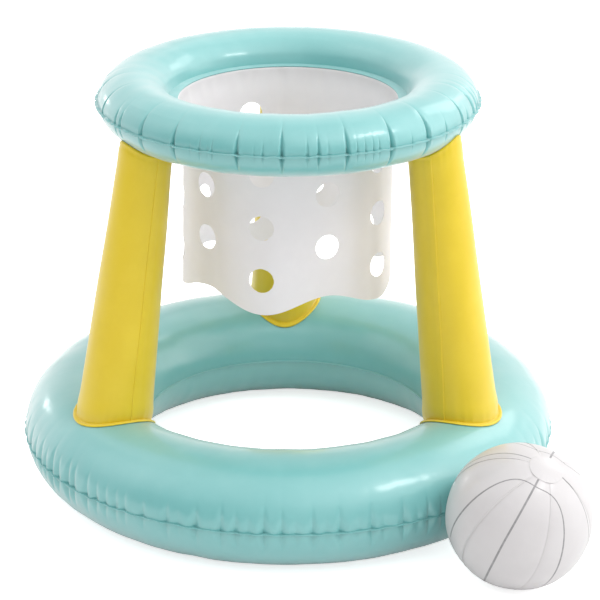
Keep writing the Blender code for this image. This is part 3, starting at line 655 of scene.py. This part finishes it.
def net_xyz(azimuth, depth, lift):
    """Point on the hanging skirt, lifted towards its inner face."""
    radius, height, facing_out, facing_up = net_path(depth)
    share = np.clip(depth / NET_MEAN_LENGTH, 0.0, None)
    radius = radius + NET_FOLD_DEPTH * net_wave(azimuth) * share ** 2
    grow = np.clip(share * 1.6, 0.0, 1.0) ** 0.7 * (0.45 + 0.55 * share)
    for centre_deg, width_deg, depth_in in NET_FOLDS:
        off = wrap(azimuth - radians(centre_deg))
        radius = radius + depth_in * hump(off, 0.0, radians(width_deg)) * grow
    lumps = NET_LUMP_HEIGHT * waves(azimuth, NET_LUMPS) * hump(depth, *NET_LUMP_BAND)
    radius = radius + lumps * np.clip(depth / 0.004, 0.0, 1.0)
    seam_off = np.abs(wrap(azimuth - radians(NET_SIDE_SEAM_DEG))) * NET_WAIST_RADIUS
    band = np.clip(1.6 - seam_off / NET_SEAM_WIDTH, 0.0, 1.0)
    radius = radius + NET_SEAM_HEIGHT * band * np.clip(depth / 0.006, 0.0, 1.0)
    return turned(radius + lift * facing_out, azimuth, height + lift * facing_up)


def net_hem_depth(azimuth):
    return NET_MEAN_LENGTH + NET_HEM_WAVE * net_wave(azimuth)


def net_hole_centres():
    column_angle = math.pi / NET_COLUMN_PAIRS
    centres = []
    for column in range(2 * NET_COLUMN_PAIRS):
        long_column = column % 2 == 0
        first = NET_LONG_COLUMN_FIRST if long_column else NET_SHORT_COLUMN_FIRST
        for row in range(3 if long_column else 2):
            centres.append(((column + 0.5) * column_angle, first + NET_HOLE_PITCH * row))
    return np.array(centres)


def make_net(material):
    """The skirt is cut flat with its holes, rolled into a tube and hung from its weld strip."""
    seam_angle = radians(NET_SIDE_SEAM_DEG)
    holes = net_hole_centres()
    bend_length = NET_BEND_RADIUS * math.pi / 2
    stations = np.linspace(0.0, math.tau, NET_COLUMNS + 1)
    width = math.tau * NET_WAIST_RADIUS
    points, edges = [], []

    def add_line(xs, ys, closed=False):
        start = len(points)
        points.extend(zip(xs, ys))
        numbers = list(range(start, len(points)))
        edges.extend(zip(numbers, numbers[1:]))
        if closed:
            edges.append((numbers[-1], numbers[0]))

    def hole_distance(angle, depth):
        """How far the nearest hole's middle is, in hole radii."""
        each = [np.hypot((angle - a) * NET_WAIST_RADIUS, depth - d) for a, d in holes]
        return np.min(each, axis=0) / NET_HOLE_RADIUS

    flat_x = stations * NET_WAIST_RADIUS
    straight = [-NET_WELD_WIDTH, 0.0] + [bend_length * share for share in (0.25, 0.5, 0.75, 1.0)]
    for depth in straight:
        add_line(flat_x, np.full(NET_COLUMNS + 1, depth))
    hem = net_hem_depth(seam_angle + stations)
    add_line(flat_x, hem)
    add_line(flat_x, hem - NET_HEM_ROW)
    for azimuth, depth in holes:
        for grow in NET_HOLE_LOOPS:
            turn = np.linspace(0, math.tau, NET_HOLE_POINTS, endpoint=False)
            add_line(
                azimuth * NET_WAIST_RADIUS + NET_HOLE_RADIUS * grow * np.cos(turn),
                depth + NET_HOLE_RADIUS * grow * np.sin(turn), True,
            )
    rows = np.linspace(bend_length, NET_MEAN_LENGTH + NET_HEM_WAVE, NET_ROWS)[1:]
    grid_x, grid_y = np.meshgrid(stations, rows, indexing="ij")
    hem_grid = net_hem_depth(seam_angle + grid_x)
    clear = (grid_y < hem_grid - NET_HEM_CLEAR) & (hole_distance(grid_x, grid_y) > NET_HOLE_CLEAR)
    points.extend(zip(grid_x[clear] * NET_WAIST_RADIUS, grid_y[clear]))

    epsilon = NET_FILM / 100
    flat, _, triangles, _, _, _ = delaunay_2d_cdt([Vector(p) for p in points], edges, [], 0, epsilon)
    flat = np.array([(p.x, p.y) for p in flat])
    triangles = np.array([t for t in triangles if len(t) == 3])
    keys = np.round(flat[:, 1] / NET_FILM * 4).astype(int)
    left = {keys[i]: i for i in np.nonzero(flat[:, 0] < NET_FILM)[0]}
    joined = np.arange(len(flat))
    for i in np.nonzero(flat[:, 0] > width - NET_FILM)[0]:
        joined[i] = left[keys[i]]
    centre = flat[triangles].mean(axis=1)
    angle = centre[:, 0] / NET_WAIST_RADIUS
    before = np.floor(angle / stations[1])
    blend_share = angle / stations[1] - before
    chord = net_hem_depth(seam_angle + before * stations[1]) * (1 - blend_share)
    chord += net_hem_depth(seam_angle + (before + 1) * stations[1]) * blend_share
    keep = (centre[:, 1] < chord) & (hole_distance(angle, centre[:, 1]) > NET_HOLE_CUT)
    triangles = joined[triangles[keep]]
    used, triangles = np.unique(triangles, return_inverse=True)
    triangles = triangles.reshape(-1, 3)
    azimuth = seam_angle + flat[used, 0] / NET_WAIST_RADIUS
    depth = flat[used, 1]
    front = net_xyz(azimuth, depth, NET_FILM / 2)
    back = net_xyz(azimuth, depth, -NET_FILM / 2)
    net = sheet_object("net_skirt_sheet", front, back, [], triangles, material)
    place(net, "hoop", "net_vinyl", "net_skirt")


# Ball


BALL_TURN = np.array(
    Matrix.Rotation(radians(BALL_POLE_AZIMUTH_DEG), 3, "Z")
    @ Matrix.Rotation(math.pi / 2 - radians(BALL_POLE_ELEVATION_DEG), 3, "Y")
    @ Matrix.Rotation(radians(BALL_ROLL_DEG), 3, "Z")
)


def ball_xyz(latitude, longitude, lift):
    """Point on the ball by latitude and longitude round its own axis."""
    latitude, longitude, lift = np.broadcast_arrays(latitude, longitude, lift)
    across = np.cos(latitude)
    spot = np.stack([across * np.cos(longitude), across * np.sin(longitude), np.sin(latitude)], axis=-1)
    return BALL_CENTRE + (spot @ BALL_TURN.T) * (BALL_RADIUS + lift)[..., None]


GORE_LAP_PLACES = (0.25, 0.6, 1.0)      # the lap's mesh columns, as shares of its width
# Depth or height, and reach, of the sharp dip at a seam, of the broad one and of its puckers
GORE_DIP, GORE_BROAD_DIP, GORE_PUCKER = (0.0004, 0.0022), (0.0002, 0.006), (0.00006, 0.007)
GORE_VALVE_HOLE = 0.0088


def make_gore(index, material):
    """One panel of the ball, lapped over the next one and flattened a little between its seams."""
    middle = math.tau * index / BALL_GORES
    half_angle = math.pi / BALL_GORES
    end = math.pi / 2 - BALL_POLE_OPENING / BALL_RADIUS
    latitudes = np.linspace(-end, end, 110)
    ease = np.linspace(-1, 1, 41)
    shares = np.sign(ease) * (1 - (1 - np.abs(ease)) ** 1.5)
    lap_columns = BALL_LAP * np.array(GORE_LAP_PLACES)
    draw = np.random.default_rng(40 + index)
    terms = [(draw.uniform(30, 75), draw.uniform(0, 6.28), draw.uniform(0.3, 1)) for _ in range(5)]
    wobble = waves(latitudes, [(height, count, phase) for count, phase, height in terms])
    front, back = [], []
    for latitude, wave in zip(latitudes, wobble):
        across = BALL_RADIUS * math.cos(latitude)
        half = half_angle - WELD_GAP / 2 / across
        longitude = middle + np.concatenate([shares * half, half + lap_columns / across])
        edge = np.concatenate([(1 - np.abs(shares)) * half * across, lap_columns])
        share = 1 - edge / (half * across)
        over = np.concatenate([np.zeros(len(shares)), np.full(len(lap_columns), BALL_LAP_LIFT)])
        over[len(shares) - 1] = BALL_LAP_LIFT / 2
        under_cap = min(1.0, max(0.0, (across - 0.75 * BALL_CAP_RADIUS) / BALL_CAP_RADIUS))
        dip = -decay(edge, *GORE_DIP) - GORE_BROAD_DIP[0] * hump(edge, 0.0, GORE_BROAD_DIP[1])
        dip -= decay(edge, *GORE_PUCKER) * wave
        flatten = -0.0006 * (1 - (1 - share) ** 0.8) * math.cos(latitude) + 0.0002
        swell = 0.0003 * np.sin(3.1 * latitude + 2 * longitude)
        swell += 0.0002 * np.sin(6 * latitude - 4 * longitude)
        lift = dip + flatten + (swell + over) * under_cap
        front.append(ball_xyz(latitude, longitude, lift))
        back.append(ball_xyz(latitude, longitude, lift - FILM))
    rows, columns = len(latitudes), len(longitude)
    quads = grid_quads(rows, columns, False)
    front, back = np.concatenate(front), np.concatenate(back)
    valve_panel = round(radians(BALL_VALVE_LONGITUDE_DEG) / (math.tau / BALL_GORES)) % BALL_GORES
    if index == valve_panel:
        latitude0 = radians(BALL_VALVE_LATITUDE_DEG)
        centre = ball_xyz(latitude0, radians(BALL_VALVE_LONGITUDE_DEG), 0.0)
        inside = np.linalg.norm(front - centre, axis=1) < GORE_VALVE_HOLE
        quads = quads[~inside[quads].any(axis=1)]
    panel = sheet_object("ball_panel_%d" % (index + 1), front, back, quads, [], material)
    place(panel, "ball", "ball_vinyl", "ball_gore_%d" % (index + 1))


# Loops of a cap from its underside over its edge to near its middle: share of its radius, lift off the ball
CAP_LOOPS = (
    (0.990, 0.0000), (1.0, 0.0001), (1.0, 0.0003), (0.985, 0.0005), (0.955, 0.0006), (0.92, 0.0006),
    (0.88, 0.0006), (0.7, 0.0007), (0.5, 0.0007), (0.3, 0.0008), (0.12, 0.0008),
)


def make_ball_cap(name, node, side, material):
    columns = 96
    angle = np.linspace(0, math.tau, columns, endpoint=False)
    cap_angle = BALL_CAP_RADIUS / BALL_RADIUS
    pucker = 0.00007 * np.cos(17 * angle) + 0.00006 * np.cos(29 * angle + 1)
    loops = []
    for share, lift in CAP_LOOPS:
        puckers = pucker * (1 if share > 0.6 else 0)
        loops.append(ball_xyz(side * (math.pi / 2 - cap_angle * share), angle, lift + puckers))
    profile = np.stack(loops, axis=1)
    rows = profile.shape[1]
    quads = grid_quads(columns, rows, True)
    middles = [ball_xyz(side * math.pi / 2, 0.0, lift) for lift in (0.0008, 0.0002)]
    verts = np.concatenate([profile.reshape(-1, 3), middles])
    tris = []
    for i in range(columns):
        foot, ahead = i * rows, (i + 1) % columns * rows
        tris.append((foot + rows - 1, ahead + rows - 1, columns * rows))
        tris.append((ahead, foot, columns * rows + 1))
    cap = make_object(name, verts, quads, tris, material)
    place(cap, "ball", "ball_vinyl", node)


# Materials


class Nodes:
    """Short hand for building the nodes of a material or of the world."""

    def __init__(self, owner):
        owner.use_nodes = True
        self.owner = owner
        self.tree = owner.node_tree
        self.shader = self.tree.nodes.get("Principled BSDF")
        self.coords = self.add("ShaderNodeTexCoord")

    def add(self, kind, inputs=None, **settings):
        node = self.tree.nodes.new(kind)
        for key, value in settings.items():
            setattr(node, key, value)
        self.feed(node, inputs or {})
        return node

    def feed(self, node, inputs):
        """Link or set a node's inputs."""
        for key, value in inputs.items():
            if isinstance(value, bpy.types.NodeSocket):
                self.tree.links.new(value, node.inputs[key])
            else:
                node.inputs[key].default_value = value

    def noise(self, scale, detail=3.0, rough=0.5, offset=0.0):
        vector = self.coords.outputs["Object"]
        if offset:
            vector = self.vector_math("ADD", vector, (offset,) * 3)
        inputs = {"Vector": vector, "Scale": scale, "Detail": detail, "Roughness": rough}
        return self.add("ShaderNodeTexNoise", inputs).outputs["Fac"]

    def remap(self, value, low, high, to_low, to_high):
        node = self.add(
            "ShaderNodeMapRange",
            {"Value": value, "From Min": low, "From Max": high, "To Min": to_low, "To Max": to_high},
        )
        return node.outputs["Result"]

    def math(self, operation, a, b=0.0):
        return self.add("ShaderNodeMath", {0: a, 1: b}, operation=operation).outputs[0]

    def vector_math(self, operation, a, b=(0.0, 0.0, 0.0)):
        node = self.add("ShaderNodeVectorMath", {0: a, 1: b}, operation=operation)
        return node.outputs["Value" if operation == "DOT_PRODUCT" else "Vector"]

    def mix(self, share, first, second):
        """Mix of two colours, whose sockets are the node's inputs 6 and 7 and its output 2."""
        a, b = (v if isinstance(v, bpy.types.NodeSocket) else (*v, 1.0) for v in (first, second))
        return self.add("ShaderNodeMix", {0: share, 6: a, 7: b}, data_type="RGBA").outputs[2]

    def bump(self, height, distance, strength, normal=None):
        inputs = {"Height": height, "Distance": distance, "Strength": strength}
        if normal is not None:
            inputs["Normal"] = normal
        return self.add("ShaderNodeBump", inputs).outputs["Normal"]


# Looks of a film; veil is the weight of its milky sheen
Look = namedtuple(
    "Look", "color darker lighter roughness coat coat_roughness specular subsurface veil",
    defaults=(0.5, 0.0, 0.0),
)
TEAL = Look((0.135, 0.435, 0.43), (0.125, 0.42, 0.415), (0.15, 0.45, 0.445), 0.48, 1.0, 0.17, 1.0, 0.0, 0.5)
YELLOW = Look((0.72, 0.53, 0.014), (0.70, 0.51, 0.011), (0.74, 0.55, 0.02), 0.48, 0.3, 0.25, 0.4, 0.25, 0.25)
NET_WHITE = Look((0.73, 0.685, 0.70), (0.71, 0.665, 0.68), (0.75, 0.705, 0.72), 0.45, 0.12, 0.25, 0.5, 0.5)
BALL_WHITE = Look((0.58, 0.56, 0.565), (0.565, 0.545, 0.55), (0.60, 0.58, 0.585), 0.38, 0.2, 0.12)
VALVE_WHITE = Look((0.66, 0.68, 0.68), (0.60, 0.63, 0.63), (0.72, 0.74, 0.74), 0.3, 0.3, 0.15, 0.5, 0.3)


def vinyl(name, look):
    """Soft glossy film: slight clouding, fine orange-peel and long faint stretch marks."""
    nodes = Nodes(bpy.data.materials.new(name))
    cloud = nodes.noise(7.0, 4.0, 0.55)
    first = nodes.mix(nodes.remap(cloud, 0.35, 0.65, 0.0, 1.0), look.darker, look.color)
    mottle = nodes.noise(38.0, 3.0, 0.6, 3.7)
    second = nodes.mix(nodes.remap(mottle, 0.45, 0.75, 0.0, 0.6), first, look.lighter)
    haze = nodes.noise(22.0, 4.0, 0.6, 9.1)
    haze = nodes.remap(haze, 0.3, 0.7, look.roughness * 0.85, look.roughness * 1.2)
    peel = nodes.noise(420.0, 2.0, 0.5, 5.3)
    stretch = nodes.noise(60.0, 3.0, 0.5, 1.9)
    normal = nodes.bump(peel, distance=0.00004, strength=0.5)
    normal = nodes.bump(stretch, distance=0.00018, strength=0.6, normal=normal)
    settings = {
        "Base Color": second, "Roughness": haze, "Normal": normal,
        "Coat Weight": look.coat, "Coat Roughness": look.coat_roughness, "IOR": 1.5,
        "Specular IOR Level": look.specular, "Sheen Weight": look.veil, "Sheen Roughness": 0.45,
    }
    if look.subsurface:
        settings["Subsurface Weight"] = look.subsurface
        settings["Subsurface Radius"] = (0.6, 0.6, 0.6)
        settings["Subsurface Scale"] = 0.004
    nodes.feed(nodes.shader, settings)
    return nodes


BALL_PRINT = (0.22, 0.215, 0.22)
LINE_SOFT_EDGE = 0.0035
# Each printed arch on the ball: half its width in longitude, its top and its end, and how round it is
ARCH_HALF_WIDTH_DEG, ARCH_TOP_DEG, ARCH_END_DEG = 48.0, 69.0, -20.0
ARCH_SIDE_POWER, ARCH_TOP_POWER = 3.2, 8.1


def ball_material(name):
    """White film with the grey printed lines of a ball, drawn in the ball's own directions."""
    nodes = vinyl(name, BALL_WHITE)
    base = nodes.shader.inputs["Base Color"].links[0].from_socket
    centre = tuple(BALL_CENTRE)
    spot = nodes.vector_math("SUBTRACT", nodes.coords.outputs["Object"], centre)
    unit = nodes.vector_math("NORMALIZE", spot)

    def along(axis):
        return nodes.vector_math("DOT_PRODUCT", unit, tuple(BALL_TURN @ np.array(axis)))

    def band(value, offset, half_width):
        """One inside the line and zero outside it, with a soft edge."""
        away = nodes.math("ABSOLUTE", nodes.math("SUBTRACT", value, offset))
        return nodes.remap(away, half_width, half_width + LINE_SOFT_EDGE, 1.0, 0.0)

    x, y, z = along((1, 0, 0)), along((0, 1, 0)), along((0, 0, 1))
    wander = nodes.remap(nodes.noise(9.0, 1.0, 0.5, 2.2), 0.0, 1.0, -0.03, 0.03)
    meridian = along((0.05, 0.998, 0.03))
    lines = [band(nodes.math("ADD", meridian, wander), 0.0, 0.012)]
    cross = along((0.993, -0.10, 0.06))
    lines.append(band(nodes.math("ADD", cross, wander), 0.02, 0.006))
    # A rounded arch round longitude 0 and another round 180: its sides are meridians, its top a parallel.
    latitude = nodes.math("ARCSINE", z)
    longitude = nodes.math("ARCTAN2", nodes.math("ABSOLUTE", y), nodes.math("ABSOLUTE", x))
    side = nodes.math("DIVIDE", longitude, radians(ARCH_HALF_WIDTH_DEG))
    side = nodes.math("POWER", side, ARCH_SIDE_POWER)
    rise = nodes.math("DIVIDE", nodes.math("MAXIMUM", latitude, 0.0), radians(ARCH_TOP_DEG))
    rise = nodes.math("POWER", rise, ARCH_TOP_POWER)
    line = band(nodes.math("ADD", side, rise), 1.0, 0.052)
    ends = nodes.remap(latitude, radians(ARCH_END_DEG - 1.0), radians(ARCH_END_DEG), 0.0, 1.0)
    lines.append(nodes.math("MULTIPLY", line, ends))
    print_share = lines[0]
    for line in lines[1:]:
        print_share = nodes.math("MAXIMUM", print_share, line)
    worn = nodes.remap(nodes.noise(160.0, 2.0, 0.5, 6.0), 0.3, 0.7, 0.75, 1.0)
    share = nodes.math("MULTIPLY", print_share, worn)
    nodes.feed(nodes.shader, {"Base Color": nodes.mix(share, base, BALL_PRINT)})
    return nodes


def make_materials():
    films = {
        "teal": vinyl("teal_film", TEAL), "yellow": vinyl("yellow_film", YELLOW),
        "net": vinyl("net_film", NET_WHITE), "valve": vinyl("valve_film", VALVE_WHITE),
        "ball": ball_material("ball_film"), "cap": vinyl("ball_cap_film", BALL_WHITE),
    }
    return {key: nodes.owner for key, nodes in films.items()}


# Studio

CAMERA_PLACE = (0.0, -2.94318, 1.39398)
CAMERA_ELEVATION_DEG = 21.652
CAMERA_LENS = 149.768
CAMERA_SHIFT = (0.0198, 0.00315)
# Azimuth, elevation (degrees) and level of each broad glow of the studio's walls and ceiling
GLOWS = (
    (-120, 48, 0.71), (180, 48, 1.55), (180, 8, 0.39), (-45, 8, 0.19), (-60, 48, 1.50),
    (-90, 8, 0.70), (0, 48, 1.60), (0, 8, 2.25), (135, 8, 1.33), (45, 8, 1.20),
    (60, 48, 0.74), (90, 8, 0.96), (0, 90, 0.95),
)
GLOW_POWER = 9.0
# Azimuth, elevation and distance from the aim, then width, height and power; angles are degrees
LAMPS = {
    "key_softbox": (-30, 46, 2.6, 0.9, 0.4, 10.3),
    "overhead_softbox": (110, 55, 2.6, 2.4, 1.8, 8.9),
    "right_softbox": (40, 35, 2.8, 1, 1.2, 7.5),
    "rim_back_left": (132, 9, 2.8, 0.35, 0.25, 1.8),
    "rim_back_right": (35, 12, 2.8, 0.3, 0.2, 0.14),
}
AIM = Vector((0.0, 0.0, 0.25))
WHITE = (1.0, 1.0, 1.0, 1.0)


def direction(azimuth_deg, elevation_deg):
    azimuth, elevation = radians(azimuth_deg), radians(elevation_deg)
    return Vector((
        math.cos(azimuth) * math.cos(elevation), math.sin(azimuth) * math.cos(elevation), math.sin(elevation)
    ))


def make_lamps():
    for name, (azimuth, elevation, distance, width, height, power) in LAMPS.items():
        data = bpy.data.lights.new(name, "AREA")
        data.shape = "RECTANGLE"
        data.size, data.size_y, data.energy = width, height, power
        lamp = add_object(name, data)
        toward = direction(azimuth, elevation)
        lamp.location = AIM + toward * distance
        lamp.rotation_euler = toward.to_track_quat("Z", "Y").to_euler()


def make_world():
    """White to the camera; to the object, broad glows round the studio."""
    world = bpy.data.worlds.new("studio")
    bpy.context.scene.world = world
    world.use_nodes = True
    world.node_tree.nodes.clear()
    nodes = Nodes(world)
    level = None
    for azimuth, elevation, strength in GLOWS:
        toward = tuple(direction(azimuth, elevation))
        dot = nodes.vector_math("DOT_PRODUCT", nodes.coords.outputs["Generated"], toward)
        facing = nodes.math("MAXIMUM", dot, 0.0)
        glow = nodes.math("MULTIPLY", nodes.math("POWER", facing, GLOW_POWER), strength)
        level = glow if level is None else nodes.math("ADD", level, glow)
    light = nodes.add("ShaderNodeBackground", {"Color": WHITE, "Strength": level})
    white = nodes.add("ShaderNodeBackground", {"Color": WHITE, "Strength": 1.0})
    path = nodes.add("ShaderNodeLightPath")
    inputs = {0: path.outputs["Is Camera Ray"], 1: light.outputs[0], 2: white.outputs[0]}
    pick = nodes.add("ShaderNodeMixShader", inputs)
    nodes.add("ShaderNodeOutputWorld", {"Surface": pick.outputs[0]})


FLOOR_ALBEDO = 0.92
FLOOR_LIFT = 0.70           # strength that the floor's own light adds for the camera alone
FLOOR_HALF_WIDTH = 14.0
FLOOR_DROP = 0.0002


def make_floor():
    nodes = Nodes(bpy.data.materials.new("studio_floor"))
    seen = nodes.add("ShaderNodeLightPath").outputs["Is Camera Ray"]
    nodes.feed(nodes.shader, {
        "Base Color": (FLOOR_ALBEDO,) * 3 + (1.0,), "Roughness": 0.9, "Specular IOR Level": 0.1,
        "Emission Color": WHITE, "Emission Strength": nodes.math("MULTIPLY", seen, FLOOR_LIFT),
    })
    corners = ((-1, -1), (1, -1), (1, 1), (-1, 1))
    verts = [(x * FLOOR_HALF_WIDTH, y * FLOOR_HALF_WIDTH, -FLOOR_DROP) for x, y in corners]
    mesh = bpy.data.meshes.new("studio_floor")
    mesh.from_pydata(verts, [], [(0, 1, 2, 3)])
    mesh.materials.append(nodes.owner)
    floor = add_object("studio_floor", mesh)


def make_camera():
    data = bpy.data.cameras.new("camera")
    data.lens = CAMERA_LENS
    data.sensor_width = 36.0
    data.shift_x, data.shift_y = CAMERA_SHIFT
    data.clip_end = 60.0
    camera = add_object("camera", data)
    camera.location = CAMERA_PLACE
    camera.rotation_euler = (radians(90.0 - CAMERA_ELEVATION_DEG), 0.0, 0.0)
    bpy.context.scene.camera = camera


def main():
    materials = make_materials()
    make_rings(materials["teal"])
    for number, (name, azimuth_deg) in enumerate(LEG_AZIMUTHS_DEG.items()):
        make_leg(name, azimuth_deg, materials["yellow"], 3 + number)
    make_net(materials["net"])
    for index in range(BALL_GORES):
        make_gore(index, materials["ball"])
    make_ball_cap("ball_pole_disc_upper", "ball_cap_upper", 1, materials["cap"])
    make_ball_cap("ball_pole_disc_lower", "ball_cap_lower", -1, materials["cap"])
    for name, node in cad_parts.items():
        if "valve" in name:
            for slot in node.material_slots:
                slot.material = materials["valve"]
    scene = bpy.context.scene
    scene.view_settings.view_transform = "Standard"
    make_camera()
    make_lamps()
    make_world()
    make_floor()


main()
